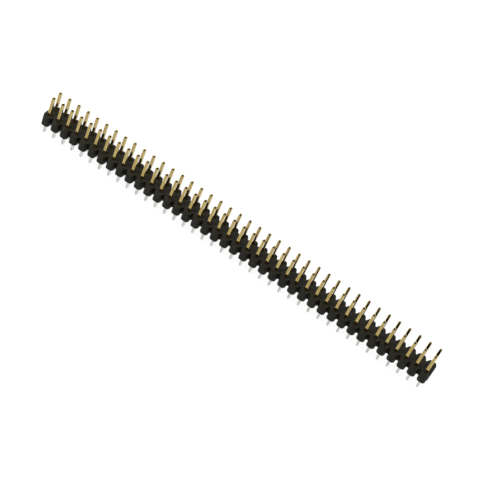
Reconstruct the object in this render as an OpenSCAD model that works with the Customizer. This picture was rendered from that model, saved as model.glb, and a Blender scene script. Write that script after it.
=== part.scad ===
// Straight double-row pin header, break-away style.
// The insulator sits on its underside at Z = 0, with the row of cells along X.
// The contact posts point up (+Z) and the solder tails point down (-Z).

/* [Grid] */
// Columns of pins along the header
columns = 40; // [2:1:40]
// Distance between neighbouring columns
pitch = 2.54; // [2.3:0.02:3]
// Distance between the front and the rear row
row_spacing = 2.54; // [2.3:0.02:4]

/* [Insulator] */
// Height of the insulator, from the board to its upper face
insulator_height = 2.5; // [1.5:0.1:5]
// Distance from the middle of a row to the insulator's outer face
row_margin = 1.25; // [1.1:0.05:1.6]
// Width of the flat outer face of each cell
cell_flat = 1.4; // [0.8:0.05:1.6]
// Radius of the upright corners of a cell
corner_radius = 0.6; // [0.05:0.05:0.8]
// Depth of the break notches between the cells, at the upper face
notch_depth = 1.1; // [0.6:0.05:1.4]
// Width of the floor of a break notch
notch_floor = 0.15; // [0.1:0.05:0.4]
// Height of the cells' feet, with a round-ended slot between each two of them
foot_height = 0.9; // [0.3:0.1:1.2]
// Width of a slot between two feet
slot_width = 0.6; // [0.4:0.05:0.7]
// Depth of a slot between two feet
slot_depth = 1.6; // [1.5:0.05:1.8]
// Plastic taken off at each end, where the header was cut from a longer strip
end_trim = 0.15; // [0:0.05:0.3]

/* [Pins] */
// Side of the square pin wire
pin_side = 0.64; // [0.5:0.02:0.7]
// Length of a contact post above the insulator
post_length = 5.4; // [3:0.1:12]
// Length of a solder tail below the insulator
tail_length = 2.8; // [2:0.1:6]
// Length of the coined taper at each end of a pin
tip_length = 0.5; // [0.3:0.05:1]
// Side of the small flat left at each end of a pin
tip_side = 0.22; // [0.1:0.02:0.4]
// Gap on each side between a pin and the hole it is pressed into
hole_play = 0; // [0:0.01:0.05]

/* [Hidden] */
// Straight steps that make up a cell's rounded corner, and a whole circle at the end of a slot
corner_steps = 4;
circle_steps = 24;
// How far a slot cut starts below the underside
cut_start = 0.1;
// Largest share of its edge that a rounded corner takes
edge_share = 0.95;
half_width = row_spacing / 2 + row_margin;
notch_y = notch_depth - half_width;
strip_length = columns * pitch;
hole_side = pin_side + 2 * hole_play;
rows = [-1, 1];

// Name of the node that holds one column's two pins
function pair_name(column) = str("pin_pair_", column < 10 ? "0" : "", column);

// Place of a column along the header, with the middle of the header at 0
function column_x(column) = (column - (columns + 1) / 2) * pitch;

function unit(v) = v / norm(v);

// Points of an arc that rounds the corner at b, on the way from a through b to c.
// Where the edges are too short for the radius, the arc is as large as they allow.
function rounded_corner(a, b, c, radius, steps) =
    let (
        back = unit(a - b),
        on = unit(c - b),
        half_angle = acos(back * on) / 2,
        room = edge_share * min(norm(a - b), norm(c - b)),
        reach = min(radius / tan(half_angle), room),
        middle = b + unit(back + on) * reach / cos(half_angle),
        first = b + back * reach - middle,
        last = b + on * reach - middle,
        sweep = 180 - 2 * half_angle
    )
    [for (i = [0:steps])
        let (t = i / steps)
        middle + (first * sin((1 - t) * sweep) + last * sin(t * sweep)) / sin(sweep)];

// Left half of a cell's front edge, from a notch floor to the cell's outer face
function half_cell_front() =
    let (
        floor_corner = [(notch_floor - pitch) / 2, notch_y],
        face_corner = [-cell_flat / 2, -half_width],
        face_middle = [0, -half_width]
    )
    concat(
        [floor_corner],
        rounded_corner(floor_corner, face_corner, face_middle, corner_radius, corner_steps)
    );

// A whole cell's front edge: the left half, then its mirror image
function cell_front(x) =
    let (
        half = half_cell_front(),
        last = len(half) - 1
    )
    concat(
        [for (p = half) [x + p.x, p.y]],
        [for (i = [last:-1:0]) [x - half[i].x, half[i].y]]
    );

// The front side of the strip of cells, which starts and stops in the middle of a notch
function front_edge() = concat(
    [[-strip_length / 2, notch_y]],
    [for (column = [1:columns]) each cell_front(column_x(column))],
    [[strip_length / 2, notch_y]]
);

module at_each_row(column) {
    for (row = rows)
        translate([column_x(column), row * row_spacing / 2, 0])
            children();
}

// Plan of the insulator: the rear side is the front side turned half a turn
module insulator_plan() {
    front = front_edge();
    rear = [for (p = front) -p];
    difference() {
        intersection() {
            polygon(concat(front, rear));
            square([strip_length - 2 * end_trim, 2 * half_width], center = true);
        }
        for (column = [1:columns])
            at_each_row(column)
                square(hole_side, center = true);
    }
}

// A slot from the front, centred on X = 0, with a round end
module slot_plan() {
    end_y = slot_depth - half_width - slot_width / 2;
    translate([0, end_y])
        circle(d = slot_width, $fn = circle_steps);
    translate([-slot_width / 2, -half_width - cut_start])
        square([slot_width, end_y + half_width + cut_start]);
}

// The slots of both sides, one in the middle of each notch
module slots_plan() {
    for (notch = [0:columns], turn = [0, 180])
        translate([notch * pitch - strip_length / 2, 0])
            rotate(turn)
                slot_plan();
}

module insulator() {
    color([0.14, 0.14, 0.13])
        difference() {
            linear_extrude(insulator_height)
                insulator_plan();
            translate([0, 0, -cut_start])
                linear_extrude(foot_height + cut_start)
                    slots_plan();
        }
}

// Side view of a pin: a straight wire with a taper coined on each end
module pin_side_view() {
    half = pin_side / 2;
    end = tip_side / 2;
    low = -tail_length;
    high = insulator_height + post_length;
    polygon([
        [-end, low],
        [end, low],
        [half, low + tip_length],
        [half, high - tip_length],
        [end, high],
        [-end, high],
        [-half, high - tip_length],
        [-half, low + tip_length]
    ]);
}

module pin_blank() {
    rotate([90, 0, 0])
        linear_extrude(pin_side, center = true)
            pin_side_view();
}

// The taper shows from all four sides, so the pin is one blank crossed with another
module pin() {
    intersection() {
        pin_blank();
        rotate([0, 0, 90])
            pin_blank();
    }
}

module pin_pair(column) {
    color([0.80, 0.68, 0.38])
        at_each_row(column)
            pin();
}

insulator();
for (column = [1:columns])
    pin_pair(column);
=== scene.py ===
"""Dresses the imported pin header: rounded edges, finishes, floor, light and camera."""
import math
import bpy
from mathutils import Matrix, Vector


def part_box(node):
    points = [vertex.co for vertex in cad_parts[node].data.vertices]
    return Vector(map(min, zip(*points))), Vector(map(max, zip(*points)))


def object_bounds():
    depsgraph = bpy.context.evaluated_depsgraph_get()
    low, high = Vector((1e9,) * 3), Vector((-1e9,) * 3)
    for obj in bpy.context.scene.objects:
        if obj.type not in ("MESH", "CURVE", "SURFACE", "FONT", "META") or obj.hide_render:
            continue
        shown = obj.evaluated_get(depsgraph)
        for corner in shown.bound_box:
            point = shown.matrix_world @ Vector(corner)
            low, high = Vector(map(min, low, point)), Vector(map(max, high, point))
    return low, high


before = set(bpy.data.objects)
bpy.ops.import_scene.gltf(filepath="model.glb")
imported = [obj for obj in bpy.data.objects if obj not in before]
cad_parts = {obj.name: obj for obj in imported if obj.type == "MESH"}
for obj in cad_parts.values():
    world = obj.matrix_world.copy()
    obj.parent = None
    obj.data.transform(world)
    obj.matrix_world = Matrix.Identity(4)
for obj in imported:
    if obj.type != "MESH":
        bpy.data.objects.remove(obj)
cad_low, cad_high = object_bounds()

MM = 0.001

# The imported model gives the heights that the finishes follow
insulator_low, insulator_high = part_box("insulator")
SEAT_Z = insulator_low.z
TOP_Z = insulator_high.z
POST_END_Z = cad_high.z
TAIL_END_Z = cad_low.z

# Camera of the photograph, worked out from the pin tips and the cells, with its angles in degrees
IMAGE_SIZE = 480
FOCAL_PIXELS = 1425
SENSOR_WIDTH = 36
CAMERA_AZIMUTH = 13.61
CAMERA_ELEVATION = 43.37
CAMERA_ROLL = 24.76
CAMERA_DISTANCE = 306 * MM
CAMERA_AIM = Vector((1.125 * MM, 0.37 * MM, TOP_Z - 0.405 * MM))
NEAREST_SEEN = 1 * MM

# Edge roundings, and the turn from which an edge counts as sharp: the pins' tapers do, the cells' arcs do not
PIN_EDGE = 0.06 * MM
PIN_SHARP_ANGLE = math.radians(15)
INSULATOR_EDGE = 0.06 * MM
INSULATOR_SHARP_ANGLE = math.radians(30)
EDGE_SEGMENTS = 3
FLAT_ANGLE = math.radians(0.5)
WELD_GAP = 0.0005 * MM

# Colours, as linear values
BLACK_PLASTIC = (0.0096, 0.0090, 0.0058, 1)
BLACK_PLASTIC_PALE = (0.0155, 0.0148, 0.0097, 1)
GOLD = (0.446, 0.338, 0.128, 1)
GOLD_DEEP = (0.383, 0.278, 0.092, 1)
# Painted highlight: a pale gold put on the posts' rounded edges and upper end flats
PAINTED_HIGHLIGHT_GOLD = (0.80, 0.66, 0.28, 1)
BARE_BRASS = (0.37, 0.29, 0.12, 1)
TIN = (0.56, 0.56, 0.545, 1)
TIN_DULL = (0.48, 0.48, 0.47, 1)
# Painted highlight: a pale tin put on the tails' rounded edges
PAINTED_HIGHLIGHT_TIN = (0.90, 0.90, 0.885, 1)
WHITE = (1, 1, 1, 1)

# Plastic: broad mottling for colour and gloss, and a fine grain that bends the surface.
# Scales of noise are in features per millimetre along each axis, and ranges are a low and a high value.
MOTTLE_SCALE = (0.9, 0.9, 0.9)
MOTTLE_DETAIL = 3
MOTTLE_COLOUR_RANGE = (0.35, 0.65)
MOTTLE_GLOSS_RANGE = (0.3, 0.7)
PLASTIC_ROUGHNESS = (0.42, 0.54)
PLASTIC_SPECULAR = 0.10
GRAIN_SCALE = (14, 14, 14)
GRAIN_DETAIL = 3
GRAIN_DEPTH = 0.03 * MM
GRAIN_STRENGTH = 0.5

# Pins: streaks from drawing the wire, patches of deeper plating, and painted highlights on the rounded edges
# and end flats
STREAK_SCALE = (9, 9, 0.25)
STREAK_DETAIL = 2
STREAK_RANGE = (0.3, 0.7)
STREAK_DEPTH = 0.003 * MM
STREAK_STRENGTH = 0.2
PIN_ROUGHNESS = (0.04, 0.09)
PATCH_SCALE = (0.5, 0.5, 0.15)
PATCH_DETAIL = 2
PATCH_RANGE = (0.35, 0.7)
# Ranges of the facing masks that place the painted highlights on rounded edges and end flats
EDGE_HIGHLIGHT_RANGE = (0.05, 0.30)
END_FLAT_HIGHLIGHT_RANGE = (0.6, 0.9)

# Heights over which tin turns to gold, inside the insulator, and gold to bare metal, at the posts' ends
PLATING_MIDDLE = (SEAT_Z + TOP_Z) / 2
PLATING_CHANGE = (PLATING_MIDDLE - 0.2 * MM, PLATING_MIDDLE + 0.2 * MM)
BARE_END = (POST_END_Z - 0.65 * MM, POST_END_Z - 0.40 * MM)

# Floor: its plain colour lights the header, and its glow and shadow colour are what is seen of it
FLOOR_RADIUS = 3.0
FLOOR_SIDES = 96
FLOOR_COLOUR = (0.8, 0.8, 0.8, 1)
FLOOR_SHADOW_COLOUR = (0.07, 0.07, 0.07, 1)
FLOOR_GLOW = 0.95

# Studio: brightest behind the header and overhead
BACKDROP_DIRECTION = (0, 0.64, 0.77)
BACKDROP_RANGE = (-0.1, 0.6)
STUDIO_LEVELS = (0.04, 0.90)

# Lamps, in metres and watts
KEY_PLACE = (-0.18, -0.12, 0.26)
KEY_SIZE = 0.2
KEY_POWER = 1.3
FILL_PLACE = (0.5, 0.35, 0.6)
FILL_SIZE = 0.5
FILL_POWER = 2.5

# A Mix node has sockets of the same names for numbers, vectors and colours; these are the ones for colours
MIX_FIRST = 6
MIX_SECOND = 7
MIX_RESULT = 2


def feed(tree, socket, value):
    """Sets a socket to a value, or links it to another node's output."""
    if isinstance(value, bpy.types.NodeSocket):
        tree.links.new(value, socket)
    else:
        socket.default_value = value


def add_node(tree, kind, **inputs):
    """A node with some of its inputs set, each either to a value or to another node's output."""
    node = tree.nodes.new(kind)
    for name, value in inputs.items():
        feed(tree, node.inputs[name], value)
    return node


def math_result(tree, operation, *values):
    """The result of a Math node on other nodes' outputs."""
    node = tree.nodes.new("ShaderNodeMath")
    node.operation = operation
    for socket, value in zip(node.inputs, values):
        feed(tree, socket, value)
    return node.outputs["Value"]


def object_point(tree, scale):
    """Object coordinates in millimetres, stretched by a scale along each axis."""
    coordinates = tree.nodes.new("ShaderNodeTexCoord")
    per_metre = [axis / MM for axis in scale]
    mapping = add_node(tree, "ShaderNodeMapping", Vector=coordinates.outputs["Object"], Scale=per_metre)
    return mapping.outputs["Vector"]


def noise(tree, scale, detail):
    """Noise over the object, with a scale in features per millimetre along each axis."""
    point = object_point(tree, scale)
    node = add_node(tree, "ShaderNodeTexNoise", Vector=point, Scale=1, Detail=detail)
    return node.outputs["Fac"]


def remap(tree, value, source, target=(0, 1)):
    """The value taken from one range to another, clamped, with soft ends."""
    node = add_node(tree, "ShaderNodeMapRange", Value=value)
    node.interpolation_type = "SMOOTHSTEP"
    node.inputs["From Min"].default_value, node.inputs["From Max"].default_value = source
    node.inputs["To Min"].default_value, node.inputs["To Max"].default_value = target
    return node.outputs["Result"]


def mix_colour(tree, factor, first, second):
    """A colour between two, each either a value or another node's output."""
    node = tree.nodes.new("ShaderNodeMix")
    node.data_type = "RGBA"
    tree.links.new(factor, node.inputs["Factor"])
    feed(tree, node.inputs[MIX_FIRST], first)
    feed(tree, node.inputs[MIX_SECOND], second)
    return node.outputs[MIX_RESULT]


def height_of(tree):
    """The point's height in the object, in metres."""
    coordinates = tree.nodes.new("ShaderNodeTexCoord")
    split = add_node(tree, "ShaderNodeSeparateXYZ", Vector=coordinates.outputs["Object"])
    return split.outputs["Z"]


def facing(tree):
    """A node that gives the X, Y and Z of the surface's normal in the object."""
    coordinates = tree.nodes.new("ShaderNodeTexCoord")
    return add_node(tree, "ShaderNodeSeparateXYZ", Vector=coordinates.outputs["Normal"])


def edge_of(tree):
    """Nought on the wire's four flat sides, rising to a half along its rounded edges."""
    normal = facing(tree)
    product = math_result(tree, "MULTIPLY", normal.outputs["X"], normal.outputs["Y"])
    return math_result(tree, "ABSOLUTE", product)


def upward_of(tree):
    """How far the surface faces up: 1 on a flat top and 0 on an upright side."""
    return facing(tree).outputs["Z"]


def bump(tree, height, distance, strength):
    """A normal bent by a height pattern."""
    node = add_node(tree, "ShaderNodeBump", Height=height, Distance=distance, Strength=strength)
    return node.outputs["Normal"]


def empty_material(name):
    """A material that has no nodes yet, and its node tree."""
    material = bpy.data.materials.new(name)
    material.use_nodes = True
    material.node_tree.nodes.clear()
    return material, material.node_tree


def surface_material(name):
    """A material with a Principled shader on its output."""
    material, tree = empty_material(name)
    shader = tree.nodes.new("ShaderNodeBsdfPrincipled")
    add_node(tree, "ShaderNodeOutputMaterial", Surface=shader.outputs["BSDF"])
    return material, tree, shader


def plastic_material():
    """Black moulded plastic: fine sparked grain, faint mottling and an uneven satin gloss."""
    material, tree, shader = surface_material("moulded_black_plastic")
    mottle = noise(tree, MOTTLE_SCALE, MOTTLE_DETAIL)
    grain = noise(tree, GRAIN_SCALE, GRAIN_DETAIL)
    pale = remap(tree, mottle, MOTTLE_COLOUR_RANGE)
    colour = mix_colour(tree, pale, BLACK_PLASTIC, BLACK_PLASTIC_PALE)
    roughness = remap(tree, mottle, MOTTLE_GLOSS_RANGE, PLASTIC_ROUGHNESS)
    normal = bump(tree, grain, GRAIN_DEPTH, GRAIN_STRENGTH)
    tree.links.new(colour, shader.inputs["Base Color"])
    tree.links.new(roughness, shader.inputs["Roughness"])
    tree.links.new(normal, shader.inputs["Normal"])
    shader.inputs["Specular IOR Level"].default_value = PLASTIC_SPECULAR
    return material


def pin_material():
    """Drawn wire: a gold post with a bare metal taper, a tin tail, and painted highlights on its rounded
    edges and upper end flat.
    """
    material, tree, shader = surface_material("plated_pin")
    height = height_of(tree)
    # Painted highlight along the wire's rounded edges, chosen by which way the surface faces
    painted_edge_highlight = remap(tree, edge_of(tree), EDGE_HIGHLIGHT_RANGE)
    streaks = noise(tree, STREAK_SCALE, STREAK_DETAIL)
    patches = remap(tree, noise(tree, PATCH_SCALE, PATCH_DETAIL), PATCH_RANGE)
    gold = mix_colour(tree, painted_edge_highlight, mix_colour(tree, patches, GOLD, GOLD_DEEP), PAINTED_HIGHLIGHT_GOLD)
    tin = mix_colour(tree, painted_edge_highlight, mix_colour(tree, patches, TIN, TIN_DULL), PAINTED_HIGHLIGHT_TIN)
    plated = mix_colour(tree, remap(tree, height, PLATING_CHANGE), tin, gold)
    colour = mix_colour(tree, remap(tree, height, BARE_END), plated, BARE_BRASS)
    # Painted highlight on the posts' upward-facing end flats
    colour = mix_colour(tree, remap(tree, upward_of(tree), END_FLAT_HIGHLIGHT_RANGE), colour, PAINTED_HIGHLIGHT_GOLD)
    roughness = remap(tree, streaks, STREAK_RANGE, PIN_ROUGHNESS)
    normal = bump(tree, streaks, STREAK_DEPTH, STREAK_STRENGTH)
    tree.links.new(colour, shader.inputs["Base Color"])
    tree.links.new(roughness, shader.inputs["Roughness"])
    tree.links.new(normal, shader.inputs["Normal"])
    shader.inputs["Metallic"].default_value = 1
    return material


def smooth_shading_group(sharp_angle):
    """Smooth shading everywhere but on edges that turn by more than the sharp angle."""
    group = bpy.data.node_groups.new("smooth_by_angle", "GeometryNodeTree")
    group.interface.new_socket("Geometry", in_out="INPUT", socket_type="NodeSocketGeometry")
    group.interface.new_socket("Geometry", in_out="OUTPUT", socket_type="NodeSocketGeometry")
    start = group.nodes.new("NodeGroupInput")
    end = group.nodes.new("NodeGroupOutput")
    faces = group.nodes.new("GeometryNodeSetShadeSmooth")
    edges = group.nodes.new("GeometryNodeSetShadeSmooth")
    edges.domain = "EDGE"
    edges.inputs["Shade Smooth"].default_value = False
    angle = group.nodes.new("GeometryNodeInputMeshEdgeAngle")
    sharp = group.nodes.new("FunctionNodeCompare")
    sharp.operation = "GREATER_THAN"
    sharp.inputs["B"].default_value = sharp_angle
    group.links.new(angle.outputs["Unsigned Angle"], sharp.inputs["A"])
    group.links.new(start.outputs["Geometry"], faces.inputs["Geometry"])
    group.links.new(faces.outputs["Geometry"], edges.inputs["Geometry"])
    group.links.new(sharp.outputs["Result"], edges.inputs["Selection"])
    group.links.new(edges.outputs["Geometry"], end.inputs["Geometry"])
    return group


def round_edges(piece, width, sharp_angle, shading):
    """Rounds a piece's sharp edges by modifiers, with its own mesh left as it is."""
    weld = piece.modifiers.new("weld", "WELD")
    weld.merge_threshold = WELD_GAP
    flats = piece.modifiers.new("flats", "DECIMATE")
    flats.decimate_type = "DISSOLVE"
    flats.angle_limit = FLAT_ANGLE
    edge = piece.modifiers.new("edge", "BEVEL")
    edge.width = width
    edge.segments = EDGE_SEGMENTS
    edge.limit_method = "ANGLE"
    edge.angle_limit = sharp_angle
    edge.use_clamp_overlap = False
    edge.loop_slide = False
    smooth = piece.modifiers.new("smooth", "NODES")
    smooth.node_group = shading
    weighted = piece.modifiers.new("weighted", "WEIGHTED_NORMAL")
    weighted.keep_sharp = True


def dress(piece, material):
    """Puts one material on all of a piece."""
    piece.data.materials.clear()
    piece.data.materials.append(material)


def make_camera():
    """The photograph's camera: an orbit about the aim point, then a roll about the line of sight."""
    azimuth = math.radians(CAMERA_AZIMUTH)
    elevation = math.radians(CAMERA_ELEVATION)
    roll = math.radians(CAMERA_ROLL)
    back = Vector((
        math.sin(azimuth) * math.cos(elevation),
        -math.cos(azimuth) * math.cos(elevation),
        math.sin(elevation),
    ))
    level_right = Vector((math.cos(azimuth), math.sin(azimuth), 0))
    level_up = back.cross(level_right)
    right = level_right * math.cos(roll) + level_up * math.sin(roll)
    up = level_up * math.cos(roll) - level_right * math.sin(roll)
    data = bpy.data.cameras.new("camera")
    data.sensor_width = SENSOR_WIDTH
    data.lens = FOCAL_PIXELS * SENSOR_WIDTH / IMAGE_SIZE
    data.clip_start = NEAREST_SEEN
    camera = bpy.data.objects.new("camera", data)
    turn = Matrix((right, up, back)).transposed().to_4x4()
    camera.matrix_world = Matrix.Translation(CAMERA_AIM + back * CAMERA_DISTANCE) @ turn
    bpy.context.scene.collection.objects.link(camera)
    bpy.context.scene.camera = camera


def floor_material():
    """White for what the camera and mirrors see, with a share of plain diffuse that keeps the shadow."""
    material, tree = empty_material("pale_floor")
    path = tree.nodes.new("ShaderNodeLightPath")
    seen = math_result(tree, "MAXIMUM", path.outputs["Is Camera Ray"], path.outputs["Is Glossy Ray"])
    seen = math_result(tree, "MAXIMUM", seen, path.outputs["Is Transmission Ray"])
    plain = add_node(tree, "ShaderNodeBsdfDiffuse", Color=FLOOR_COLOUR)
    shadow = add_node(tree, "ShaderNodeBsdfDiffuse", Color=FLOOR_SHADOW_COLOUR)
    glow = add_node(tree, "ShaderNodeEmission", Color=WHITE, Strength=FLOOR_GLOW)
    bright = tree.nodes.new("ShaderNodeAddShader")
    tree.links.new(glow.outputs["Emission"], bright.inputs[0])
    tree.links.new(shadow.outputs["BSDF"], bright.inputs[1])
    mix = add_node(tree, "ShaderNodeMixShader", Fac=seen)
    tree.links.new(plain.outputs["BSDF"], mix.inputs[1])
    tree.links.new(bright.outputs["Shader"], mix.inputs[2])
    add_node(tree, "ShaderNodeOutputMaterial", Surface=mix.outputs["Shader"])
    return material


def make_floor():
    """A wide round floor under the ends of the tails."""
    place = (0, 0, TAIL_END_Z)
    bpy.ops.mesh.primitive_circle_add(
        vertices=FLOOR_SIDES, radius=FLOOR_RADIUS, fill_type="NGON", location=place)
    floor = bpy.context.object
    floor.name = "floor"
    floor.data.materials.append(floor_material())


def make_world():
    """Soft studio surroundings: a dim room in front, a bright backdrop behind and overhead."""
    world = bpy.data.worlds.new("studio")
    world.use_nodes = True
    tree = world.node_tree
    tree.nodes.clear()
    coordinates = tree.nodes.new("ShaderNodeTexCoord")
    towards = tree.nodes.new("ShaderNodeVectorMath")
    towards.operation = "DOT_PRODUCT"
    towards.inputs[1].default_value = BACKDROP_DIRECTION
    tree.links.new(coordinates.outputs["Generated"], towards.inputs[0])
    level = remap(tree, towards.outputs["Value"], BACKDROP_RANGE, STUDIO_LEVELS)
    background = add_node(tree, "ShaderNodeBackground", Color=WHITE, Strength=level)
    add_node(tree, "ShaderNodeOutputWorld", Surface=background.outputs["Background"])
    bpy.context.scene.world = world


def make_lamp(name, place, size, power):
    """A square soft lamp that faces the middle of the header."""
    data = bpy.data.lights.new(name, "AREA")
    data.shape = "SQUARE"
    data.size = size
    data.energy = power
    lamp = bpy.data.objects.new(name, data)
    lamp.location = place
    lamp.rotation_euler = (-Vector(place)).to_track_quat("-Z", "Y").to_euler()
    bpy.context.scene.collection.objects.link(lamp)


make_camera()
plastic = plastic_material()
pin = pin_material()
insulator_shading = smooth_shading_group(INSULATOR_SHARP_ANGLE)
pin_shading = smooth_shading_group(PIN_SHARP_ANGLE)
for name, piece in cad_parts.items():
    if name == "insulator":
        dress(piece, plastic)
        round_edges(piece, INSULATOR_EDGE, INSULATOR_SHARP_ANGLE, insulator_shading)
    else:
        dress(piece, pin)
        round_edges(piece, PIN_EDGE, PIN_SHARP_ANGLE, pin_shading)

make_floor()
make_world()
make_lamp("key_lamp", KEY_PLACE, KEY_SIZE, KEY_POWER)
make_lamp("fill_lamp", FILL_PLACE, FILL_SIZE, FILL_POWER)
bpy.context.scene.view_settings.view_transform = "Standard"
